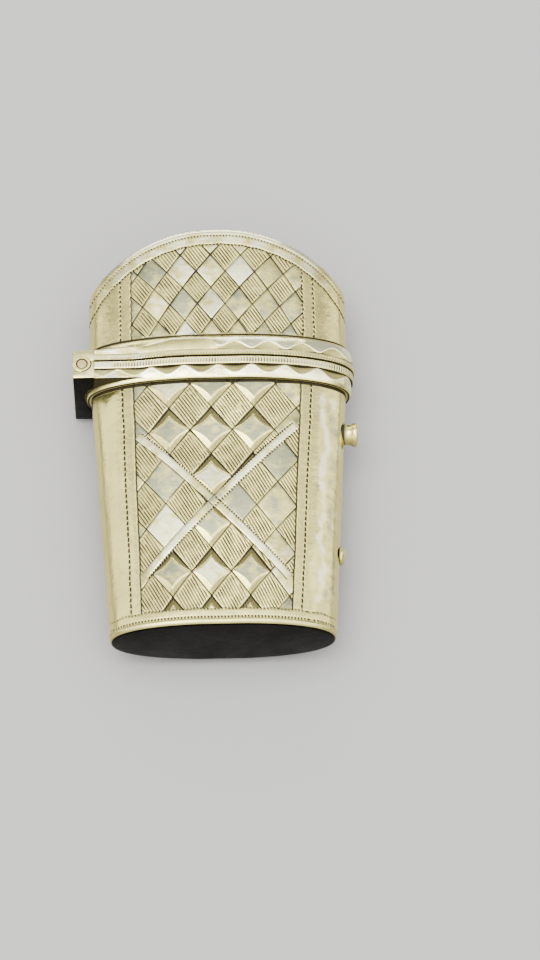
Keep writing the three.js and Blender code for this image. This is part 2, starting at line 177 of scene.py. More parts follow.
def lattice_noise(x, y, cell, seed):
    """Smooth noise from -1 to 1 over two flat coordinates."""
    gx, gy = x / cell, y / cell
    ix, iy = np.floor(gx), np.floor(gy)
    fx, fy = gx - ix, gy - iy
    fx, fy = fx * fx * (3 - 2 * fx), fy * fy * (3 - 2 * fy)

    def corner(cx, cy):
        return scattered(cx * 127.1 + cy * 311.7 + seed * 74.7)

    low = corner(ix, iy) * (1 - fx) + corner(ix + 1, iy) * fx
    high = corner(ix, iy + 1) * (1 - fx) + corner(ix + 1, iy + 1) * fx
    return low * (1 - fy) + high * fy


def line_noise(place, cell, seed):
    return lattice_noise(place, 0 * place, cell, seed)


# Meshes
def placed(name, data):
    obj = bpy.data.objects.new(name, data)
    bpy.context.scene.collection.objects.link(obj)
    return obj


def mesh_piece(name, points, faces, values=None, sharp=None):
    """A smooth-shaded mesh in metres from points in millimetres, with named values at its points."""
    mesh = bpy.data.meshes.new(name)
    mesh.from_pydata([tuple(p) for p in np.asarray(points) * MM], [], [tuple(f) for f in faces])
    mesh.shade_smooth()
    for key, numbers in (values or {}).items():
        layer = mesh.attributes.new(key, "FLOAT", "POINT")
        layer.data.foreach_set("value", np.asarray(numbers, dtype=np.float32).ravel())
    if sharp is not None:
        mesh.set_sharp_from_angle(angle=math.radians(sharp))
    return placed(name, mesh)


def quads(rows, columns):
    """Quads of a grid of points whose rows are closed rings."""
    faces = []
    for j in range(rows - 1):
        a, b = j * columns, (j + 1) * columns
        for i in range(columns):
            k = (i + 1) % columns
            faces.append((a + i, a + k, b + k, b + i))
    return faces


def prism(name, outline, low, high):
    """A closed prism over an outline of (x, y) points."""
    n = len(outline)
    points = [(x, y, low) for x, y in outline] + [(x, y, high) for x, y in outline]
    faces = [tuple(range(n))[::-1], tuple(range(n, 2 * n))]
    faces += [(i, (i + 1) % n, n + (i + 1) % n, n + i) for i in range(n)]
    return mesh_piece(name, points, faces)


def turned(name, profile, steps, place, values=None, sharp=35):
    """A closed body turned about the Z axis of its place from a profile of (radius, height)."""
    points, rings, faces = [], [], []
    for radius, height in profile:
        turns = [2 * math.pi * i / steps for i in range(steps)] if radius > 0 else [0]
        rings.append(range(len(points), len(points) + len(turns)))
        points += [(radius * math.cos(turn), radius * math.sin(turn), height) for turn in turns]
    pairs = list(zip(rings, rings[1:]))
    if len(rings[0]) > 1:
        pairs.append((rings[-1], rings[0]))
    for a, b in pairs:
        for i in range(steps):
            k = (i + 1) % steps
            if len(a) == 1:
                faces.append((a[0], b[k], b[i]))
            elif len(b) == 1:
                faces.append((a[i], a[k], b[0]))
            else:
                faces.append((a[i], a[k], b[k], b[i]))
    return mesh_piece(name, [tuple(place @ Vector(p)) for p in points], faces, values, sharp)


def apply_modifiers(obj, sharp):
    """Gives obj the mesh that its modifiers make, with edges past the angle left sharp."""
    bpy.context.view_layer.update()
    evaluated = obj.evaluated_get(bpy.context.evaluated_depsgraph_get())
    mesh = bpy.data.meshes.new_from_object(evaluated)
    obj.modifiers.clear()
    old = obj.data
    obj.data = mesh
    bpy.data.meshes.remove(old)
    mesh.shade_smooth()
    mesh.set_sharp_from_angle(angle=math.radians(sharp))
    return obj


def cut(obj, tools, operation="DIFFERENCE", sharp=50):
    """Cuts obj with the tools, or keeps what lies in all of them, and removes the tools."""
    for tool in tools:
        modifier = obj.modifiers.new("cut", "BOOLEAN")
        modifier.operation = operation
        modifier.solver = "MANIFOLD"
        modifier.object = tool
    apply_modifiers(obj, sharp)
    for tool in tools:
        bpy.data.objects.remove(tool)
    return obj


def rounded(obj, width):
    modifier = obj.modifiers.new("round", "BEVEL")
    modifier.width = width * MM
    modifier.segments = 3
    modifier.limit_method = "ANGLE"
    modifier.angle_limit = math.radians(35)
    return apply_modifiers(obj, 40)


def bar(name, radius, low, high, place=PIN_FRAME):
    """A round bar along the Z axis of its place."""
    return turned(name, [(0, low), (radius, low), (radius, high), (0, high)], 48, place)


def hinge_space():
    return bar("hinge_space", HINGE_RADIUS, -6, 6)


# Ovals
def depth_of(share):
    """Depth of the oval, as a share of its half-depth, at a share of its half-width."""
    level = (1 - np.clip(np.abs(share), 0, 1) ** ROUNDNESS) ** (1 / ROUNDNESS)
    return np.clip(level / FLAT_LEVEL, -1, 1)


def oval(turn):
    """Shares of half-width and half-depth at angles from the middle of the front round by +X."""
    sx, cz = np.sin(turn), np.cos(turn)
    x = np.sign(sx) * np.abs(sx) ** (2 / ROUNDNESS)
    z = np.clip(np.sign(cz) * np.abs(cz) ** (2 / ROUNDNESS) / FLAT_LEVEL, -1, 1)
    return x, z


def body_section(y):
    """Half-width and half-depth of the body at a height."""
    share = np.clip(np.asarray(y, dtype=float) / MOUTH_HEIGHT, 0, 1)
    return (
        (BASE_WIDTH + (MOUTH_WIDTH - BASE_WIDTH) * share) / 2,
        (BASE_DEPTH + (MOUTH_DEPTH - BASE_DEPTH) * share) / 2,
    )


def lid_section(y):
    return (np.full_like(np.asarray(y, dtype=float), LID_HALF_WIDTH), LID_HALF_DEPTH)


def oval_loft(name, section, levels, steps=144):
    """A closed plug through ovals at levels of (proud of the wall, y)."""
    shares = [oval(2 * math.pi * (i + 0.5) / steps) for i in range(steps)]
    points = []
    for proud, y in levels:
        half_width, half_depth = section(y)
        points += [((half_width + proud) * x, y, (half_depth + proud) * z) for x, z in shares]
    top = (len(levels) - 1) * steps
    faces = [tuple(range(steps))[::-1], tuple(range(top, top + steps))]
    return mesh_piece(name, points, faces + quads(len(levels), steps))


def arch_prism(name, radius):
    """A prism under an arch about the lid's arch centre, from below the lid's base."""
    half_width = LID_HALF_WIDTH + 0.3
    half_depth = 8
    steps = 160
    half_angle = math.asin(min(1, half_width / radius))
    outline = [(-half_width, LID_BASE - 1), (half_width, LID_BASE - 1)]
    for k in range(steps + 1):
        angle = math.pi / 2 - half_angle + 2 * half_angle * k / steps
        outline.append((radius * math.cos(angle), ARCH_CENTRE + radius * math.sin(angle)))
    return prism(name, outline, -half_depth, half_depth)


# The leaf spring, which the button and the rivet stand square to
def leaf_frame(height):
    """A frame on the leaf spring at a height, with Z square to it and outwards."""
    along = (height - LEAF_FOOT) / math.cos(LEAF_ANGLE)
    return (
        Matrix.Translation((LEAF_FOOT_X, LEAF_FOOT, 0))
        @ Matrix.Rotation(-LEAF_ANGLE, 4, "Z")
        @ Matrix.Translation((0, along, 0))
        @ Matrix.Rotation(math.pi / 2, 4, "Y")
    )


def wall_out(height):
    """Distance from the leaf spring out to the wall's outer face."""
    leaf_x = LEAF_FOOT_X + (height - LEAF_FOOT) * math.tan(LEAF_ANGLE)
    return (float(body_section(height)[0]) - leaf_x) / math.cos(LEAF_ANGLE)


def side_hole(name, radius, height):
    return bar(name, radius, -1, 4, leaf_frame(height))


# Lattice and lines of the engraving
def cell_value(cell_p, cell_q, seed):
    return scattered(cell_p * 12.9898 + cell_q * 78.233 + seed * 37.719)


def star_facets(a, b, sides, breadth):
    """Depth, painted shade and painted bright rims of the four lens-shaped cuts that leave a star in a cell.
    """
    depth = shade = rims = np.zeros_like(a)
    for distance, along, dark in zip(sides, (-b, b, -a, a), FACET_SHADES):
        reach = FACET_REACH * breadth * np.clip(1 - np.abs((along - FACET_PEAK) / 0.72) ** 2.2, 0, 1)
        within = np.clip(reach - distance, 0, None) * smooth(-0.03, 0.13, distance)
        depth = np.maximum(depth, within)
        shade = np.maximum(shade, dark * smooth(0, 0.05, within))
        rims = np.maximum(rims, groove(distance - reach, 0.21) * (reach > 0.1))
    return depth, shade, np.clip(1.6 * rims, 0, 1) * (depth < 0.14)


def engraved_lattice(u, y, line, cell, centre, turned_over, starred, border, hatch_depth, line_width):
    """Relief, soot with painted shading, and tone of a lattice of upright diamonds, plain and hatched in rows
    by turns.
    Soot and shading runs from -1, a painted highlight, to 1, soot-black in the lines and painted shade on the
    facets, and tone from -1, white, to 1, blue-grey."""
    width, height = cell
    p = (u - centre[0]) / width + (y - centre[1]) / height
    q = (u - centre[0]) / width - (y - centre[1]) / height
    cell_p, cell_q = np.round(p), np.round(q)
    a, b = p - cell_p, q - cell_q
    hatched = (np.mod(cell_p - cell_q, 2) > 0.5) ^ turned_over
    breadth = width * height / (2 * math.hypot(width / 2, height / 2))
    sides = [(0.5 - a) * breadth, (0.5 + a) * breadth, (0.5 - b) * breadth, (0.5 + b) * breadth]
    nearest = np.minimum.reduce(sides)

    # plain cells: each a little cushion with a lean of its own
    tilted = CELL_LEAN * breadth * (cell_value(cell_p, cell_q, 1) * a + cell_value(cell_p, cell_q, 2) * b)
    relief = tilted - CELL_CROWN * (a * a + b * b)
    soot_and_shading = np.zeros_like(u)
    tone = cell_value(cell_p, cell_q, 4)

    # stars
    if starred is not None:
        cut_in = starred(cell_p, cell_q)
        depth, shade, rims = star_facets(a, b, sides, breadth)
        relief = np.where(cut_in, relief - 0.3 * depth + 0.01 * rims, relief)
        heart = np.where(cell_value(cell_p, cell_q, 6) > 0.1, -0.9, 0.85)
        tone = np.where(cut_in, mix(np.where(depth > 0.02, 0.0, heart), 0.0, rims), tone)
        # painted shade on the star's facets, darker on the upper ones and near the cell's lines, and a
        # painted highlight along each facet's rim
        dark = np.maximum(smooth(0.14, 0.04, nearest) * (depth > 0) * 0.8, shade)
        soot_and_shading = np.where(cut_in, mix(dark, -1.0, rims), soot_and_shading)

    # hatching, which stops short of the cell's sides, unevenly, and has gaps
    wander = lattice_noise(u, y, 1.1, 5)
    ends = border + 0.14 * lattice_noise(line * 0.9, cell_p + 3 * cell_q, 1.0, 8)
    inside = smooth(ends - 0.06, ends + 0.06, nearest)
    inside *= smooth(-0.8, -0.3, lattice_noise(u, y, 0.9, 9) + 0.35)
    hatching = HATCH[np.mod(line, len(HATCH)).astype(int)] * (0.8 + 0.2 * wander)
    relief = np.where(hatched, 0.8 * tilted - hatch_depth * hatching * inside - 0.01, relief)
    # soot in the hatching lines, and a painted highlight on the metal between them
    soot_and_shading = np.where(hatched, mix(-0.35, 1.0, hatching) * inside, soot_and_shading)
    tone = np.where(hatched, 0.0, tone)

    # the lattice's own lines
    wobble = 0.02 * lattice_noise(u, y, 1.7, 3)
    lines = groove(nearest + wobble, line_width) * (0.8 + 0.2 * wander)
    return relief - 0.06 * lines, np.maximum(soot_and_shading, np.clip(lines * 1.3, 0, 1)), tone


def place_by(x, y, ends):
    """Distance above a line, distance along it, and its length."""
    (x0, y0), (x1, y1) = ends
    length = math.hypot(x1 - x0, y1 - y0)
    above = ((y - y0) * (x1 - x0) - (x - x0) * (y1 - y0)) / length
    along = ((x - x0) * (x1 - x0) + (y - y0) * (y1 - y0)) / length
    return above, along, length


def body_shift(y):
    """How far the engraving stands to the side of the body's middle."""
    return -1.02 - 0.02 * (BODY_LATTICE_Y - y)


def crossing_bands(x, y, falling, rising, relief, soot_and_shading, tone):
    """Adds the two plain bands that cross, with the dotted and plain lines along their edges."""
    crossing = np.exp(-((x + 0.2) ** 2 + (y - 17.3) ** 2) / 7)
    for above, along, length in (falling, rising):
        on = smooth(-0.25, 0.15, along) * smooth(length + 0.25, length - 0.15, along)
        plain = smooth(BAND_HALF_WIDTH + 0.05, BAND_HALF_WIDTH - 0.05, np.abs(above)) * on
        relief = mix(relief, -0.012 - 0.05 * above**2, plain)
        soot_and_shading = mix(soot_and_shading, 0.0, plain)
        tone = mix(tone, mix(-0.55, 0.85, crossing), plain)
    upper_rising = (rising[0], rising[1] - 0.55 * rising[2], 0.45 * rising[2])
    for (above, along, length), edge, period in (
        (falling, 0.52, 0.4), (rising, -0.52, 0.42),
        (falling, -0.55, 0), (rising, 0.55, 0), (upper_rising, 0.55, 0.42),
    ):
        on = smooth(-0.3, 0.1, along) * smooth(length + 0.3, length - 0.1, along)
        if period:
            mark = dashes(along, period, 0.55, above - edge, 0.15) * on
            relief = relief - 0.07 * mark
        else:
            mark = groove(above - edge, 0.09) * on * 0.9
            relief = relief - 0.05 * mark
        soot_and_shading = np.maximum(soot_and_shading, mark)
    return relief, soot_and_shading, tone


def body_engraving(u, y, line):
    """Relief, soot with painted shading, and tone over the body's front. u is the column's place at the
    mouth's width.
    """
    x = u * PANEL_NARROWING
    falling = place_by(x, y, FALLING_BAND)
    rising = place_by(x, y, RISING_BAND)
    left_part = (falling[0] < 0) & (rising[0] > 0)
    right_part = (falling[0] > 0) & (rising[0] < 0)
    shift_u = np.where(left_part, -0.62, np.where(right_part, 0.62, 0.0))
    shift_y = np.where(right_part, -0.5, np.where(left_part, 0.0, 0.25))

    def starred(cell_p, cell_q):
        middle_u = (cell_p + cell_q) / 2 * BODY_CELL[0]
        middle_y = 27.0 + (cell_p - cell_q) / 2 * BODY_CELL[1]
        return ~left_part & ~right_part & (np.abs(middle_u) < 8.5) & (middle_y < 36)

    centre = (shift_u, BODY_LATTICE_Y + shift_y)
    looks = engraved_lattice(u, y, line, BODY_CELL, centre, right_part, starred, 0.24, 0.06, 0.13)
    relief, soot_and_shading, tone = crossing_bands(x, y, falling, rising, *looks)

    # the panel's frame: a line and a dashed line at each side
    frame_left, frame_right = -9.7, 11.2
    panel = smooth(frame_left - 0.05, frame_left + 0.05, u)
    panel = panel * smooth(frame_right + 0.05, frame_right - 0.05, u)
    panel = panel * smooth(PANEL_LOW - 0.05, PANEL_LOW + 0.1, y)
    relief, soot_and_shading, tone = relief * panel, soot_and_shading * panel, tone * panel
    wave = 0.045 * line_noise(y, 1.7, 21) + 0.015 * np.sin(y * 5.3)
    marks = [groove((u - place) * PANEL_NARROWING + wave, 0.15) for place in (frame_left, frame_right)]
    for place in (-11.13, 12.5):
        marks.append(dashes(y + 0.2 * wave, 0.76, 0.76, (u - place) * PANEL_NARROWING + wave, 0.15))
    for mark in marks:
        mark = mark * (y > PANEL_LOW)
        relief = relief - 0.08 * mark
        soot_and_shading = np.maximum(soot_and_shading, mark)
    return relief, soot_and_shading, tone


def body_edge_lines(s, y):
    """The two lines that run round the body above its base. s is the distance round the wall."""
    fine = dashes(s, 0.42, 0.7, y - PANEL_LOW - 0.03 * np.sin(s * 2.1), 0.11)
    dots = dashes(s, 0.4, 0.55, y - 1.0 - 0.02 * np.sin(s * 3.7), 0.18)
    return fine, dots


def lid_engraving(u, y, line):
    """Relief, soot and tone over the lid's front. inward is the distance in from its arched edge."""
    inward = ARCH_RADIUS - np.hypot(u, y - ARCH_CENTRE)
    middle = LID_LATTICE[0]
    fanned = (u - middle) / (1 + 0.014 * (y - 45.6)) + middle
    lowered = y + 0.05 * np.clip(u, 0, None)
    looks = engraved_lattice(fanned, lowered, line, LID_CELL, LID_LATTICE, False, None, 0.2, 0.05, 0.15)
    panel = smooth(10.7, 10.6, np.abs(u)) * smooth(2.15, 2.3, inward) * smooth(40.7, 41.0, y)
    relief, soot_and_shading, tone = (value * panel for value in looks)
    # a painted highlight along the arch's rounded edge, and a lighter strip over the plain border below it
    border = 0.9 * smooth(0.8, 0.6, inward) + 0.3 * smooth(0.9, 1.1, inward) * smooth(2.1, 1.9, inward)
    tone = tone - border * smooth(15.0, 11.0, np.abs(u))

    # upright lines at the panel's sides
    wave = 0.05 * np.sin(y * 5.9 + u) + 0.03 * line_noise(y, 0.7, 31)
    below_border = smooth(2.1, 2.3, inward)
    for place, period in ((-10.65, 0), (10.65, 0.6), (-12.0, 0.7), (12.0, 0.7)):
        if period:
            mark = dashes(y, period, 0.7, u - place + wave, 0.14) * below_border
        else:
            mark = groove(u - place + wave, 0.12) * below_border
        relief = relief - 0.07 * mark
        soot_and_shading = np.maximum(soot_and_shading, mark * 0.95)

    # dots and a fine line under the arch, and its rounded edge
    round_arch = np.arctan2(u, y - ARCH_CENTRE) * ARCH_RADIUS
    dots = dashes(round_arch, 0.42, 0.5, inward - 0.85, 0.15)
    fine = dashes(round_arch, 0.5, 0.8, inward - 2.2 + 0.03 * np.sin(round_arch * 2.3), 0.15)
    for mark in (dots, fine):
        relief = relief - 0.06 * mark
        soot_and_shading = np.maximum(soot_and_shading, mark)
    return relief - 0.12 * np.clip(1 - inward / 0.45, 0, 1) ** 2, soot_and_shading, tone


# Walls
def dents(x, y):
    """The soft unevenness of old sheet silver."""
    return (
        lattice_noise(x, 0.6 * y, 4.6, 41) * 0.034
        + lattice_noise(x, y, 2.3, 43) * 0.01
        + lattice_noise(x, y, 0.9, 47) * 0.0018
    )


def margin_creases(x, y, half_width, hollow):
    """Adds creases along the plain margins beside the body's panel. Gives relief, and the tone painted along
    them: a painted highlight on a crease, with a painted blue-grey reflection beside it.
    """
    middle = MOUTH_WIDTH / 2
    for place, height, spread in ((13.0, 0.035, 0.55), (14.0, -0.02, 0.4), (-13.3, -0.02, 0.6)):
        off = x - place * half_width / middle - 0.3 * line_noise(y, 2.6, 61) - 0.12 * line_noise(y, 1.1, 62)
        hollow = hollow + height * bell(off, spread)
    streak = x - 13.5 * half_width / middle - 0.4 * line_noise(y, 3.1, 61) - 0.15 * line_noise(y, 1.2, 62)
    fade = smooth(2.5, 5, y) * smooth(33.5, 31, y)
    return hollow, fade * (0.4 * bell(streak - 0.9, 0.45) - 0.8 * bell(streak, 0.3))


def wall_rows(low, high, step_of):
    rows = [low]
    while rows[-1] < high:
        rows.append(rows[-1] + COLUMN_STEP * step_of(rows[-1]))
    return np.array(rows)


def side_columns(edge_x, half_width, sign):
    """Columns from the panel's edge to the side's seam, closer towards the seam."""
    start = np.arcsin(np.clip(np.abs(edge_x / half_width), 0, 1) ** (ROUNDNESS / 2))
    share = 1 - (1 - np.arange(1, SIDE_COLUMNS + 1) / SIDE_COLUMNS) ** 1.25
    turn = start + (np.pi / 2 - start) * share[None, :]
    return sign * half_width * np.sin(turn) ** (2 / ROUNDNESS)


def half_faces(rows, columns):
    """Triangles over a grid of points, and the faces that close it at its ends and along its flat."""
    faces = []
    for j in range(rows - 1):
        a, b = j * columns, (j + 1) * columns
        for i in range(columns - 1):
            faces.append((a + i, a + i + 1, b + i))
            faces.append((a + i + 1, b + i + 1, b + i))
    faces.append(tuple(range(columns))[::-1])
    faces.append(tuple(range((rows - 1) * columns, rows * columns)))
    left_edge = [j * columns for j in range(rows)]
    right_edge = [point + columns - 1 for point in left_edge]
    faces.append(tuple(left_edge + right_edge[::-1]))
    return faces


def wall_half(name, section, rows, panel_edges, tapered, engrave, edge_lines, band_edge_shade, back):
    """Half of a wall, front or back, as a closed body down to the plane half way through the depth.
    Columns stand COLUMN_STEP apart over the engraved panel, and closer towards the side's seam."""
    y = rows[:, None]
    half_width, half_depth = section(y)
    half_width = half_width - SKIN_INSET
    scale = half_width / (MOUTH_WIDTH / 2) if tapered else np.ones_like(y)
    offset = body_shift(y) if tapered else np.zeros_like(y)
    panel = np.arange(panel_edges[0], panel_edges[1] + COLUMN_STEP / 2, COLUMN_STEP)
    x_panel = (panel[None, :] + offset) * scale
    left = side_columns(x_panel[:, :1], half_width, -1)[:, ::-1]
    right = side_columns(x_panel[:, -1:], half_width, 1)
    x = np.concatenate([left, x_panel, right], axis=1)
    y = np.broadcast_to(y, x.shape)
    share = x / half_width
    z = (half_depth - SKIN_INSET) * depth_of(share)
    z[:, [0, -1]] = 0
    u = x / scale - offset
    columns = np.arange(x.shape[1])[None, :]
    line = columns + np.arange(len(rows))[:, None]
    steps = np.hypot(np.diff(x, axis=1, prepend=x[:, :1]), np.diff(z, axis=1, prepend=z[:, :1]))
    round_wall = np.cumsum(steps, axis=1)
    s = round_wall - round_wall[:, x.shape[1] // 2][:, None]

    relief, soot_and_shading, tone = engrave(u, y, line)
    hollow = dents(x, y)
    if tapered:
        on_panel = ((columns >= SIDE_COLUMNS) & (columns < SIDE_COLUMNS + len(panel))).astype(float)
        hollow, streaks = margin_creases(x, y, half_width, hollow)
        relief, soot_and_shading = relief * on_panel, soot_and_shading * on_panel
        tone = tone * on_panel + streaks * (1 - on_panel)
    if edge_lines:
        for mark in edge_lines(s, y):
            fade = smooth(0.995, 0.97, np.abs(share))
            relief = relief - 0.06 * mark * fade
            soot_and_shading = np.maximum(soot_and_shading, mark * fade)
    # painted shade on the wall along the rim band's edge
    for start, end, strength in band_edge_shade:
        soot_and_shading = np.maximum(soot_and_shading, strength * smooth(start, end, y))

    # the relief stands on a ground a little below the solid's face
    relief = relief + (hollow - 0.065) * smooth(1.0, 0.93, np.abs(share))
    dx, dz = np.gradient(x, axis=1), np.gradient(z, axis=1)
    length = np.hypot(dx, dz)
    x = x - relief * dz / length
    z = z + relief * dx / length
    z[:, [0, -1]] = 0
    if back:
        x, z = -x, -z
    points = np.stack([x, y, z], axis=-1).reshape(-1, 3)
    return mesh_piece(name, points, half_faces(*x.shape), {"soot_and_shading": soot_and_shading, "tone": tone})


def body_wall(name, back):
    rows = wall_rows(BASE_THICKNESS + SEAT_GAP, MOUTH_HEIGHT - 0.12, lambda y: 1.5 + 0.35 * (34 - y) / 32)
    # painted shadow under the band: black at its edge, then a mild brown shade further down
    band_edge_shade = [(33.6, 33.9, 1.0), (30.8, 33.6, 0.13)]
    wall = wall_half(
        name, body_section, rows, (-11.8, 13.1), True, body_engraving, body_edge_lines, band_edge_shade, back
    )
    cavity = [(-BODY_WALL, y) for y in (-1, 0, MOUTH_HEIGHT, 39)]
    return cut(wall, [
        oval_loft("cavity", body_section, cavity),
        hinge_space(),
        side_hole("button_hole", BUTTON_HOLE, BUTTON_HEIGHT),
        side_hole("rivet_hole", RIVET_HOLE, RIVET_HEIGHT),
    ])


def lid_wall(name, back):
    rows = wall_rows(LID_BASE, CROWN_HEIGHT + 0.3, lambda y: 1.6)
    # painted shade: a black line on the wall along the band's edge
    band_edge_shade = [(40.85, 40.5, 0.95)]
    wall = wall_half(name, lid_section, rows, (-12.7, 12.7), False, lid_engraving, None, band_edge_shade, back)
    cut(wall, [arch_prism("arch", ARCH_RADIUS - 0.01)], "INTERSECT")
    inside = oval_loft("inside", lid_section, [(-LID_WALL, LID_BASE - 1), (-LID_WALL, CROWN_HEIGHT + 1)])
    cut(inside, [arch_prism("inner_arch", ARCH_RADIUS - LID_TOP_THICKNESS)], "INTERSECT")
    return cut(wall, [inside, hinge_space()])


# Rim bands
def ear(x, z, proud):
    """Squares the band's left end off into the flat front of its hinge bearer."""
    flat = EAR_DEPTH + proud
    level = np.abs(z)
    joined = (level + flat + np.sqrt((level - flat) ** 2 + EAR_EASE**2)) / 2
    squared = level + (joined - level) * smooth(-3, -6, x)
    past = np.clip((EAR_END - x) / 0.2, 0, 1)
    squared = squared * (1 - past) + level * past
    return np.where(past > 0, x * past + EAR_END * (1 - past), x), np.sign(z) * squared


def round_band(band, section):
    """The band with two levels of its section, and with what changes at even steps round it."""
    width, depth = section(band.joint)
    turn = 2 * np.pi * np.arange(6001) / 6000
    x, z = oval(turn)
    steps = np.hypot(np.diff((float(width) + 0.5) * x), np.diff((float(depth) + 0.5) * z))
    lengths = np.concatenate([[0], np.cumsum(steps)])
    count = int(round(lengths[-1] / TICK_PITCH)) * len(TICK)
    s = lengths[-1] * (np.arange(count) + 0.5) / count
    ux, uz = oval(np.interp(s, lengths, turn))
    across = ux * (float(width) + 0.8)
    phase = (SCALLOPS * s / lengths[-1]) % 1 - 0.5
    return SimpleNamespace(
        **vars(band), groove_at=band.strip + 0.12, ear_edge=band.height - 0.3,
        ux=ux, uz=uz, s=s, across=across, limit=np.interp(across, *band.crease),
        arch=(0.5 + 0.5 * np.cos(2 * np.pi * phase)) ** 0.8,
        worn_here=band.worn * smooth(1.5, -2.5, across) * smooth(-15, -12, across),
        on_ear=smooth(-8.5, -10.5, across),
    )


def band_rows(band):
    """The band's section, from the joint to its thin edge and back inside: kind, height proud of the
    wall, distance from the joint, and soot with painted shade."""
    strip = band.strip
    rows = [("lip", 0.58, 0.0, 1.0), ("lip", 0.72, 0.05, 0.8), ("lip", CREST, 0.15, 0.0)]
    rows += [("ticks", CREST, strip * share, 0.0) for share in (0.24, 0.5, 0.76)]
    rows += [("lip", CREST, strip - 0.06, 0.0), ("lip", 0.8, strip, 0.5), ("lip", 0.7, strip + 0.06, 1.0)]
    groove_at, ear_edge = band.groove_at, band.ear_edge
    low = (band.edge_proud + 0.8) / 2
    for k in range(MOULDING_STEPS + 1):
        away = groove_at + (ear_edge - groove_at) * k / MOULDING_STEPS
        proud = MOULDING - (MOULDING - low) * ((away - groove_at) / (ear_edge - groove_at)) ** 2.2
        rows.append(("moulding", proud, away, 0.7 if k == 0 else 0.0))
    edge = band.edge_proud
    rows += [("crease", proud - 0.03, ear_edge + 0.02, 0.0), ("step", edge + 0.19, ear_edge + 0.035, 0.0)]
    rows += [("edge", edge + 0.18, ear_edge + 0.06, 0.0), ("edge", edge + 0.14, band.height - 0.14, 0.0)]
    # painted shade on the band's underside at its thin edge
    rows += [("edge", edge + 0.07, band.height - 0.04, 0.1), ("edge", edge - 0.02, band.height, 0.9)]
    return rows + [("inside", SEAT_GAP, band.height, 0.0), ("inside", SEAT_GAP, 0.0, 0.0)]


def moulding_row(band, proud, away, least_soot):
    """A row of the moulding, with its gouged scallops: height, distance from the joint, soot with painted
    shading, and tone.
    """
    groove_at, worn, on_ear = band.groove_at, band.worn_here, band.on_ear
    place = groove_at + (away - groove_at) * (band.limit - groove_at) / (band.ear_edge - groove_at)
    span = (0.76 * band.arch * band.scoops + 0.06) * (1 - worn) + 0.97 * worn
    span = span * (band.height - 0.35 - groove_at)
    scoop = np.clip(span - (away - groove_at), 0, None)
    ridge = groove(away - groove_at - span, 0.12)
    slope = SCOOP_SLOPE * (1 - 0.6 * worn) * (1 - 0.6 * on_ear)
    proud = proud + (MOULDING - proud) * on_ear
    proud = proud - slope * scoop + 0.035 * ridge * (1 - worn)
    proud = proud - 0.02 - 0.02 * lattice_noise(band.s, 0 * band.s + away, 1.6, 53)
    streaks = lattice_noise(band.s, 0 * band.s + 5 * away, 3.1, 57)
    # painted reflection: the scoops darker and streaked, with a painted shadow line just inside the ridge and
    # a painted highlight on the ridge
    soot_and_shading = np.clip(smooth(0.03, 0.16, scoop) * (0.36 + 0.1 * streaks), 0, 1) * (1 - 0.6 * worn)
    soot_and_shading = np.maximum(soot_and_shading, 0.5 * groove(scoop - 0.13, 0.07) * (1 - worn) * (1 - on_ear))
    soot_and_shading = mix(soot_and_shading, -0.9, ridge * (1 - worn) * (1 - on_ear))
    if least_soot:
        soot_and_shading = np.maximum(soot_and_shading, least_soot)
    # painted reflection and highlight: blue-grey in the scoops, white over the rest of the moulding, whiter
    # on the worn band
    tone = np.where(scoop > 0.05, 0.7 * (1 - worn), -0.5 - 0.25 * band.worn)
    return proud, place, soot_and_shading, tone * smooth(-15.1, -12.5, band.across)


def ticks_row(band, proud):
    """A row of the milled strip: height and soot."""
    wear = 0.65 + 0.35 * line_noise(band.s, 2.1, 51)
    mark = TICK[np.arange(len(band.s)) % len(TICK)] * wear * band.ticks
    mark = mark * smooth(-13.4, -12.4, band.across)
    return proud - 0.06 * mark, mix(-0.6 * band.ticks, 1.3, mark)


def band_row(band, kind, proud, away, soot_and_shading):
    """Height, distance from the joint, soot with painted shading, and tone all round the band for a row of
    its section.
    """
    ones = np.ones(len(band.s))
    height, place, dark, tone = proud * ones, away * ones, soot_and_shading * ones, 0 * ones
    if kind == "moulding":
        height, place, dark, tone = moulding_row(band, height, away, soot_and_shading)
    elif kind == "ticks":
        height, dark = ticks_row(band, height)
    elif kind in ("crease", "step", "edge"):
        ear_edge = band.ear_edge
        place = band.limit + (place - ear_edge) * (band.height - band.limit) / (band.height - ear_edge)
        # painted shadow on the underside of the flat ear
        if kind != "edge":
            dark = 0.95 * band.on_ear
        if kind == "crease":
            height = height + (0.76 - height) * band.on_ear
    # painted highlight: the ear's front is made whiter
    if kind in ("lip", "ticks", "moulding"):
        tone = np.minimum(tone, -0.3 * band.on_ear * (dark < 0.3))
    return height, place, dark, tone


def rim_band(name, band, section):
    """A rim band: a milled strip by the joint, a groove, and a moulding with gouged scallops."""
    band = round_band(band, section)
    places, soot_and_shading, tone = [], [], []
    for kind, proud, away, dark in band_rows(band):
        height, place, row_soot_and_shading, row_tone = band_row(band, kind, proud, away, dark)
        y = band.joint + band.direction * place
        width, depth = section(y)
        x, z = (width + height - SKIN_INSET) * band.ux, (depth + height - SKIN_INSET) * band.uz
        if kind in ("lip", "ticks", "moulding", "crease"):
            x, z = ear(x, z, height)
        places.append(np.stack([x, y, z], axis=-1))
        soot_and_shading.append(row_soot_and_shading)
        tone.append(row_tone)
    count = len(band.s)
    last = (len(places) - 1) * count
    faces = quads(len(places), count)
    faces += [(last + i, last + (i + 1) % count, (i + 1) % count, i) for i in range(count)]
    if band.direction < 0:
        faces = [f[::-1] for f in faces]
    values = {"soot_and_shading": np.concatenate(soot_and_shading), "tone": np.concatenate(tone)}
    return cut(mesh_piece(name, np.concatenate(places), faces, values), [hinge_space()])


# Hinge
EAR_BACK = EAR_END + 0.05 - PIN_X


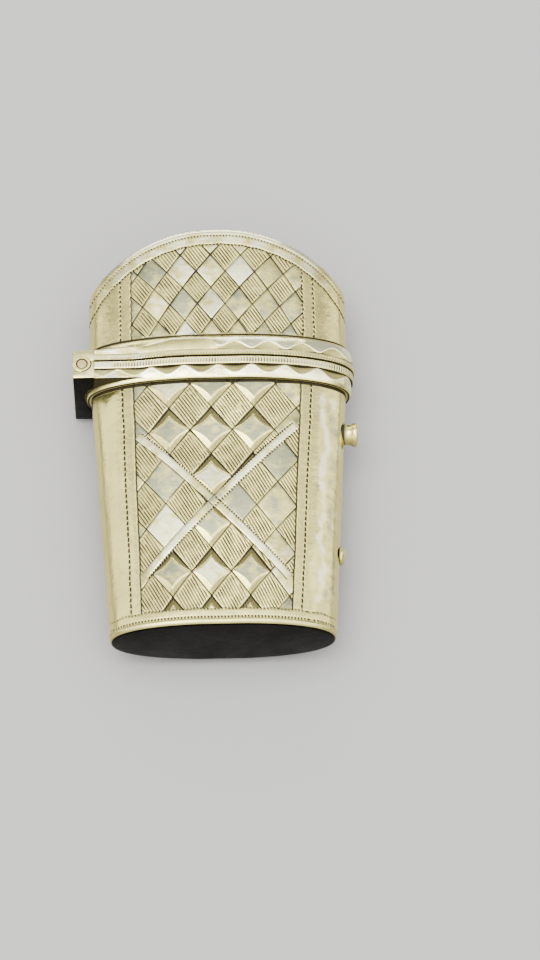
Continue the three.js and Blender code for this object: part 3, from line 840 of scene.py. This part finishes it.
def knuckle_middle(number):
    return HINGE_LENGTH / 2 - KNUCKLE_LENGTH / 2 - number * (KNUCKLE_LENGTH + KNUCKLE_GAP)


def bearer(name, outline, section, low, high, own):
    """The block beside the barrel, joined to its own knuckles and clear of the other body's.
    The outline is measured from the pin's axis."""
    half = HINGE_LENGTH / 2
    block = rounded(prism(name, [(PIN_X + x, PIN_Y + y) for x, y in outline], -half, half), 0.12)
    tools = [oval_loft("band_outline", section, [(0.88, low), (0.88, high)])]
    for number in range(KNUCKLE_COUNT):
        middle = knuckle_middle(number)
        if number % 2 == own:
            tools.append(bar("knuckle_seat", KNUCKLE_RADIUS - 0.04, middle - 1.2, middle + 1.2))
        else:
            reach = KNUCKLE_LENGTH / 2 + 0.06
            tools.append(bar("knuckle_space", HINGE_RADIUS, middle - reach, middle + reach))
    return cut(block, tools, sharp=30)


def lid_hinge_block():
    low = LID_BASE - PIN_Y
    top = low + LID_BEARER_HEIGHT
    outline = [(-KNUCKLE_RADIUS, 0), (0, 0), (0, low), (EAR_BACK, low), (EAR_BACK, top)]
    steps = 8
    for k in range(steps + 1):
        angle = math.pi / 2 + math.pi / 2 * k / steps
        across = BEARER_ROUND - KNUCKLE_RADIUS + BEARER_ROUND * math.cos(angle)
        outline.append((across, top - BEARER_ROUND + BEARER_ROUND * math.sin(angle)))
    return bearer("lid_hinge_block", outline, lid_section, LID_BASE - 2, LID_BASE + LID_BAND.height, 0)


def body_hinge_block():
    top = MOUTH_HEIGHT - PIN_Y
    low = top - BODY_BEARER_HEIGHT
    outline = [
        (-KNUCKLE_RADIUS, low), (EAR_BACK, low), (EAR_BACK, top), (0, top),
        (0, -HINGE_RADIUS), (-KNUCKLE_RADIUS, -HINGE_RADIUS),
    ]
    return bearer(
        "body_hinge_block", outline, body_section, MOUTH_HEIGHT - BODY_BAND.height, MOUTH_HEIGHT + 1, 1
    )


def knuckle_skin(number, owner):
    """A knuckle with its chamfered bore. The two outer ones have sharper outer rims, and the front one
    has a painted shadow line round its lower right."""
    steps = 64
    front, rear = number == 0, number == KNUCKLE_COUNT - 1
    bore = 0.65 if number % 2 else 0.62
    radius = KNUCKLE_RADIUS - 0.01
    half = KNUCKLE_LENGTH / 2
    end_setback = 0.008
    low, low_edge = (end_setback - half, 0.02) if rear else (-half, 0.1)
    high, high_edge = (half - end_setback, 0.02) if front else (half, 0.1)
    rim = front * smooth(0.35, 0.8, np.cos(2 * np.pi * np.arange(steps) / steps + 0.6))
    rings = [
        (bore, low, 1.0), (radius - low_edge, low, 0), (radius - low_edge / 3, low + low_edge / 3, 0),
        (radius, low + low_edge, 0), (radius, high - high_edge, rim),
        (radius - high_edge / 3, high - high_edge / 3, rim), (radius - high_edge, high, rim),
        (radius - 0.14, high, 0), (bore + 0.16, high, 0.1), (bore + 0.04, high - 0.01, 1.0),
        (bore, high - 0.05, 1.0),
    ]
    soot_and_shading = np.concatenate([level * np.ones(steps) for _, _, level in rings])
    place = Matrix.Translation((PIN_X, PIN_Y, knuckle_middle(number)))
    profile = [(distance, height) for distance, height, _ in rings]
    name = f"{owner}_knuckle_skin_{number // 2 + 1}"
    return turned(name, profile, steps, place, {"soot_and_shading": soot_and_shading, "tone": 0 * soot_and_shading})


def pin_skin():
    end = HINGE_LENGTH / 2
    profile = [
        (0, -end), (PIN_RADIUS - 0.05, -end), (PIN_RADIUS, 0.05 - end),
        (PIN_RADIUS, end - 0.05), (PIN_RADIUS - 0.05, end - 0.01), (0, end),
    ]
    return turned("pin_skin", profile, 48, PIN_FRAME)


# Button, rivet and base
def places(obj, frame_of=Matrix()):
    """The points of a mesh in millimetres, in a frame of their own."""
    inverse = frame_of.inverted()
    return np.array([inverse @ (vertex.co / MM) for vertex in obj.data.vertices])


def add_painted_shade(obj, soot_and_shading):
    for key, numbers in (("soot_and_shading", soot_and_shading), ("tone", 0 * soot_and_shading)):
        obj.data.attributes.new(key, "FLOAT", "POINT").data.foreach_set("value", numbers.astype(np.float32))


def paint_foot_shade(obj, height, foot):
    """Paints shade on a round piece: black where it meets the wall, and darker on its lower side."""
    local = places(obj, leaf_frame(height))
    low_side = smooth(0.4, -1.4, local[:, 1])
    at_wall = smooth(foot, foot - 0.25, local[:, 2] - wall_out(height))
    add_painted_shade(obj, np.maximum(0.55 * at_wall, 0.34 * low_side))


def button_skin():
    """A waisted neck with a rounded mushroom head."""
    out = wall_out(BUTTON_HEIGHT)
    end = out + BUTTON_STANDOFF
    neck = [(1.28, SEAT_GAP), (1.29, out - 0.6), (1.24, out - 0.1), (1.21, out + 0.15), (1.22, out + 0.4)]
    under_head = [(1.26, out + 0.65), (1.34, end - 0.7), (1.43, end - 0.6), (1.48, end - 0.48)]
    head = [(1.49, end - 0.3), (1.47, end - 0.16), (1.4, end - 0.07), (1.27, end - 0.025), (0.8, end - 0.005)]
    profile = [(0, SEAT_GAP)] + neck + under_head + head + [(0, end)]
    button = turned("button_skin", profile, 72, leaf_frame(BUTTON_HEIGHT))
    paint_foot_shade(button, BUTTON_HEIGHT, 0.3)
    return button


def rivet_skin():
    """A domed head outside, seated on the wall, a shank, and the upset end behind the leaf spring."""
    out = wall_out(RIVET_HEIGHT)
    turns = np.linspace(0, math.pi / 2, 10)[:-1]
    dome = [(1.14 * math.cos(t), out + 0.04 + 0.64 * math.sin(t)) for t in turns]
    upset = [(0, -0.82), (0.72, -0.82), (0.79, -0.76), (0.79, -0.5), (0.49, -0.49)]
    profile = upset + [(0.49, out - 0.1), (1.14, out - 0.1)] + dome + [(0, out + 0.68)]
    rivet = turned("rivet_skin", profile, 56, leaf_frame(RIVET_HEIGHT))
    seat = oval_loft("rivet_seat", body_section, [(0.02, 1), (0.02, 36)])
    cut(seat, [side_hole("rivet_seat_hole", 0.52, RIVET_HEIGHT)])
    cut(seat, [oval_loft("rivet_seat_inside", body_section, [(-0.62, 0.5), (-0.62, 36.5)])])
    cut(rivet, [seat])
    paint_foot_shade(rivet, RIVET_HEIGHT, 0.16)
    return rivet


def base_skin():
    """The base plate with its rounded rim, and painted shade darker towards its face."""
    levels = [(-0.62, 0.0), (-0.42, 0.03), (-0.26, 0.1), (-0.15, 0.21)]
    levels += [(-0.085, 0.36), (-0.06, 0.55), (-0.055, 0.73)]
    base = oval_loft("base_skin", body_section, levels, 288)
    add_painted_shade(base, 0.42 * smooth(0.7, 0.05, places(base)[:, 1]))
    return base


# Materials
def mixed(tree, factor, low, high):
    """A colour mix; each end is a socket or a colour."""
    made = tree.nodes.new("ShaderNodeMix")
    made.data_type = "RGBA"
    tree.links.new(factor, made.inputs[0])
    for socket, value in ((made.inputs[6], low), (made.inputs[7], high)):
        if isinstance(value, tuple):
            socket.default_value = (*value, 1)
        else:
            tree.links.new(value, socket)
    return made.outputs[2]


def noise(tree, coordinates, scale, detail, stretch=None):
    if stretch:
        mapping = tree.nodes.new("ShaderNodeMapping")
        mapping.inputs["Scale"].default_value = stretch
        tree.links.new(coordinates, mapping.inputs["Vector"])
        coordinates = mapping.outputs["Vector"]
    made = tree.nodes.new("ShaderNodeTexNoise")
    made.inputs["Scale"].default_value = scale
    made.inputs["Detail"].default_value = detail
    tree.links.new(coordinates, made.inputs["Vector"])
    return made.outputs["Fac"]


def ranged(tree, value, from_low, from_high, low, high):
    made = tree.nodes.new("ShaderNodeMapRange")
    tree.links.new(value, made.inputs["Value"])
    for key, number in (("From Min", from_low), ("From Max", from_high), ("To Min", low), ("To Max", high)):
        made.inputs[key].default_value = number
    return made.outputs["Result"]


def worked_out(tree, operation, *values):
    made = tree.nodes.new("ShaderNodeMath")
    made.operation = operation
    for socket, value in zip(made.inputs, values):
        tree.links.new(value, socket)
    return made.outputs[0]


def attribute(tree, name):
    made = tree.nodes.new("ShaderNodeAttribute")
    made.attribute_name = name
    return made.outputs["Fac"]


def engraved_colour(tree, coordinates, colour, soot_and_shading):
    """Lays blue-grey and white patches, by tone, and painted highlights, soot and painted shade, by soot and
    shading, over a colour.
    """
    tone = attribute(tree, "tone")
    patches = ranged(tree, noise(tree, coordinates, 700, 4), 0.3, 0.7, -0.75, 0.75)
    both = worked_out(tree, "ADD", tone, patches)
    toned = ranged(tree, worked_out(tree, "ABSOLUTE", tone), 0.0, 0.08, 0, 1)
    cool = worked_out(tree, "MULTIPLY", ranged(tree, both, 0.1, 0.9, 0, 0.75), toned)
    light = worked_out(tree, "MULTIPLY", ranged(tree, both, 0.0, -0.7, 0, 0.85), toned)
    # the blue-grey and the white carry the cells' own random tone, and painted reflections and highlights on
    # the bands, the ears, the arch's edge and the margins
    colour = mixed(tree, cool, colour, (0.25, 0.29, 0.225))
    colour = mixed(tree, light, colour, (1.0, 0.985, 0.64))
    # painted highlight
    colour = mixed(tree, ranged(tree, soot_and_shading, -0.05, -0.6, 0, 0.85), colour, (1.0, 0.97, 0.6))
    # soot in the engraved lines, and painted shade
    return mixed(tree, ranged(tree, soot_and_shading, 0.05, 0.55, 0, 1), colour, (0.014, 0.011, 0.004))


def silver(name, colour, shade, roughness, tarnish=0.25, bloom=(0.58, 0.505, 0.2), engraved=False):
    """Old metal: clouds and spots of shade, a streaky bloom, uneven gloss and fine scratches."""
    result = bpy.data.materials.new(name)
    result.use_nodes = True
    tree = result.node_tree
    links = tree.links
    shader = tree.nodes["Principled BSDF"]
    shader.inputs["Metallic"].default_value = 1.0
    shader.inputs["Base Color"].default_value = (*colour, 1)
    shader.inputs["Roughness"].default_value = roughness
    shader.inputs["Specular IOR Level"].default_value = 0.12
    coordinates = tree.nodes.new("ShaderNodeTexCoord").outputs["Object"]
    cloud = noise(tree, coordinates, 260, 4)
    spots = noise(tree, coordinates, 1400, 5)
    scratch = noise(tree, coordinates, 900, 2, (1.0, 0.06, 1.0))
    streaks = noise(tree, coordinates, 1, 3, (1300, 60, 1300))
    colour_out = mixed(tree, ranged(tree, cloud, 0.35, 0.7, 0, tarnish), colour, shade)
    colour_out = mixed(tree, ranged(tree, spots, 0.6, 0.75, 0, 0.35), colour_out, shade)
    colour_out = mixed(tree, ranged(tree, streaks, 0.45, 0.75, 0, 0.5), colour_out, bloom)
    rough = ranged(tree, cloud, 0.3, 0.7, roughness - 0.06, roughness + 0.1)
    if engraved:
        soot_and_shading = attribute(tree, "soot_and_shading")
        colour_out = engraved_colour(tree, coordinates, colour_out, soot_and_shading)
        rough = worked_out(tree, "ADD", rough, ranged(tree, soot_and_shading, 0.1, 0.6, 0, 0.3))
        links.new(ranged(tree, soot_and_shading, 0.15, 0.6, 1.0, 0.0), shader.inputs["Metallic"])
    links.new(colour_out, shader.inputs["Base Color"])
    links.new(rough, shader.inputs["Roughness"])
    bump = tree.nodes.new("ShaderNodeBump")
    bump.inputs["Strength"].default_value = 0.35
    bump.inputs["Distance"].default_value = 0.00006
    links.new(worked_out(tree, "ADD", scratch, spots), bump.inputs["Height"])
    links.new(bump.outputs["Normal"], shader.inputs["Normal"])
    return result


BROWN = (0.30, 0.24, 0.13)
engraved_silver = silver("engraved_silver", (0.80, 0.715, 0.25), BROWN, 0.16, engraved=True)
plain_silver = silver("plain_silver", (0.82, 0.755, 0.34), BROWN, 0.17)
# near-black silver for faces that look down: painted shade
painted_shade_silver = silver(
    "painted_shade_silver", (0.004, 0.003, 0.002), (0.003, 0.0022, 0.0014), 0.42, 0.5, (0.008, 0.006, 0.0035)
)
inner_silver = silver("inner_silver", (0.80, 0.77, 0.66), (0.46, 0.40, 0.27), 0.3, 0.3, (0.68, 0.64, 0.5))
pin_metal = silver("pin_metal", (0.52, 0.42, 0.2), (0.26, 0.19, 0.08), 0.33, 0.5, (0.45, 0.36, 0.16))
spring_metal = silver("spring_metal", (0.62, 0.61, 0.56), (0.3, 0.28, 0.24), 0.3, 0.25, (0.5, 0.47, 0.38))


def dress(obj, look, body, nodes):
    """Gives a piece its material, the body that it rides on and the nodes that it stands for."""
    obj.data.materials.clear()
    obj.data.materials.append(look)
    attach(obj, body)
    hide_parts(*nodes)


def dress_inside(wall, section):
    """Gives a wall's inner faces the plain silver of the inside."""
    margin = 0.49  # deeper than any engraving, and less than the wall
    wall.data.materials.append(inner_silver)
    centres = np.empty(3 * len(wall.data.polygons))
    wall.data.polygons.foreach_get("center", centres)
    x, y, z = centres.reshape(-1, 3).T / MM
    width, depth = section(y)
    across = np.abs(x) / (width - margin)
    out = FLAT_LEVEL * np.abs(z) / (depth - margin)
    below_arch = np.hypot(x, y - ARCH_CENTRE) < ARCH_RADIUS - 0.3
    inside = (across**ROUNDNESS + out**ROUNDNESS < 1) & below_arch
    wall.data.polygons.foreach_set("material_index", inside.astype(np.int32))


def dress_underside(obj):
    """Gives the faces that look down the near-black silver that paints shade on them."""
    obj.data.materials.append(painted_shade_silver)
    for polygon in obj.data.polygons:
        if polygon.normal.y < -0.9:
            polygon.material_index = 1


# The case's pieces
for side in ("front", "back"):
    wall = body_wall(f"body_wall_{side}", side == "back")
    dress(wall, engraved_silver, "case", ["body_shell"])
    dress_inside(wall, body_section)
for side in ("front", "back"):
    wall = lid_wall(f"lid_wall_{side}", side == "back")
    dress(wall, engraved_silver, "lid", ["lid_shell", "lid_top_plate"])
    dress_inside(wall, lid_section)
body_band = rim_band("body_band_skin", BODY_BAND, body_section)
dress(body_band, engraved_silver, "case", ["body_rim_band"])
lid_band = rim_band("lid_band_skin", LID_BAND, lid_section)
dress(lid_band, engraved_silver, "lid", ["lid_rim_band"])
dress(lid_hinge_block(), plain_silver, "lid", ["lid_hinge_bearer"])
body_block = body_hinge_block()
dress(body_block, plain_silver, "case", ["body_hinge_bearer"])
dress_underside(body_block)
for number in range(KNUCKLE_COUNT):
    owner, body = ("body", "case") if number % 2 else ("lid", "lid")
    node_name = f"{owner}_hinge_knuckle_{number // 2 + 1}"
    dress(knuckle_skin(number, owner), engraved_silver, body, [node_name])
dress(pin_skin(), pin_metal, "lid", ["hinge_pin"])
dress(button_skin(), engraved_silver, "catch", ["push_button"])
dress(rivet_skin(), engraved_silver, "case", ["spring_rivet"])
base = base_skin()
dress(base, engraved_silver, "case", ["base_plate"])
dress_underside(base)

# The solids that stay
for name, look in (
    ("mouth_collar", plain_silver), ("catch_keeper", plain_silver),
    ("leaf_spring", spring_metal), ("spring_hook", spring_metal),
):
    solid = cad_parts[name]
    solid.data.materials.clear()
    solid.data.materials.append(look)

# Stage, in metres
FLOOR_LEVEL = -5.72 * MM
FLOOR_COLOUR = (0.27, 0.268, 0.264)
SKY_TOWARDS = (0.0, -0.34, 0.94)
SKY_LEVELS = ((0.0, 0.7), (0.3, 0.65), (0.5, 1.2), (0.6, 2.4), (0.8, 4.9), (1.0, 5.9))
SOFT_WHITE = (1.0, 0.99, 0.96)
MIDDLE = (0, 0.028, 0)


def floor_plane():
    bpy.ops.mesh.primitive_plane_add(size=12, location=(0, 0, FLOOR_LEVEL))
    floor = bpy.context.object
    floor.name = "floor"
    look = bpy.data.materials.new("floor_look")
    look.use_nodes = True
    shader = look.node_tree.nodes["Principled BSDF"]
    shader.inputs["Base Color"].default_value = (*FLOOR_COLOUR, 1)
    shader.inputs["Roughness"].default_value = 0.9
    floor.data.materials.append(look)
    return floor


def sky():
    """A studio sky that grows brighter towards one direction."""
    world = bpy.data.worlds.new("studio")
    bpy.context.scene.world = world
    world.use_nodes = True
    tree = world.node_tree
    direction = tree.nodes.new("ShaderNodeTexCoord").outputs["Generated"]
    towards = tree.nodes.new("ShaderNodeVectorMath")
    towards.operation = "DOT_PRODUCT"
    towards.inputs[1].default_value = SKY_TOWARDS
    tree.links.new(direction, towards.inputs[0])
    ramp = tree.nodes.new("ShaderNodeValToRGB")
    tree.links.new(towards.outputs["Value"], ramp.inputs["Fac"])
    elements = ramp.color_ramp.elements
    for element, (position, level) in zip(elements, (SKY_LEVELS[0], SKY_LEVELS[-1])):
        element.position = position
        element.color = (level, level, level, 1)
    for position, level in SKY_LEVELS[1:-1]:
        elements.new(position).color = (level, level, level, 1)
    tree.links.new(ramp.outputs["Color"], tree.nodes["Background"].inputs["Color"])
    tree.nodes["Background"].inputs["Strength"].default_value = 1.0


def area(name, place, size, radiance):
    """A softbox of an even radiance that faces the case."""
    data = bpy.data.lights.new(name, "AREA")
    data.shape = "RECTANGLE"
    data.size, data.size_y = size
    data.energy = radiance * math.pi * size[0] * size[1]
    data.color = SOFT_WHITE
    light = placed(name, data)
    light.location = place
    light.rotation_euler = (Vector(MIDDLE) - Vector(place)).to_track_quat("-Z", "Y").to_euler()


floor = floor_plane()
sky()
area("overhead", (-0.25, -0.1, 1.1), (0.9, 0.6), 6.3)
area("left_window", (-1.0, 0.45, 0.6), (0.6, 0.9), 1.7)
area("back_window", (-0.1, 1.0, 0.5), (1.0, 0.35), 3.7)
area("right_window", (1.0, 0.45, 0.55), (0.6, 0.9), 1.7)

# Camera: it looks down at a table on which the case lies a little turned
TILT = math.radians(31)
YAW = math.radians(1.3)
CAMERA_PLACE = (0, -0.282317, 0.469855)
CASE_PLACE = (-0.00556, -0.0258, 0.0054)
table_camera = Matrix.Translation(CAMERA_PLACE) @ Matrix.Rotation(TILT, 4, "X")
case_on_table = Matrix.Translation(CASE_PLACE) @ Matrix.Rotation(YAW, 4, "Z")
camera_data = bpy.data.cameras.new("camera")
camera_data.lens = 166.5
camera_data.sensor_width = 36
camera_data.sensor_fit = "AUTO"
camera_data.clip_start = 0.01
camera = placed("camera", camera_data)
camera.matrix_world = case_on_table.inverted() @ table_camera
bpy.context.scene.camera = camera
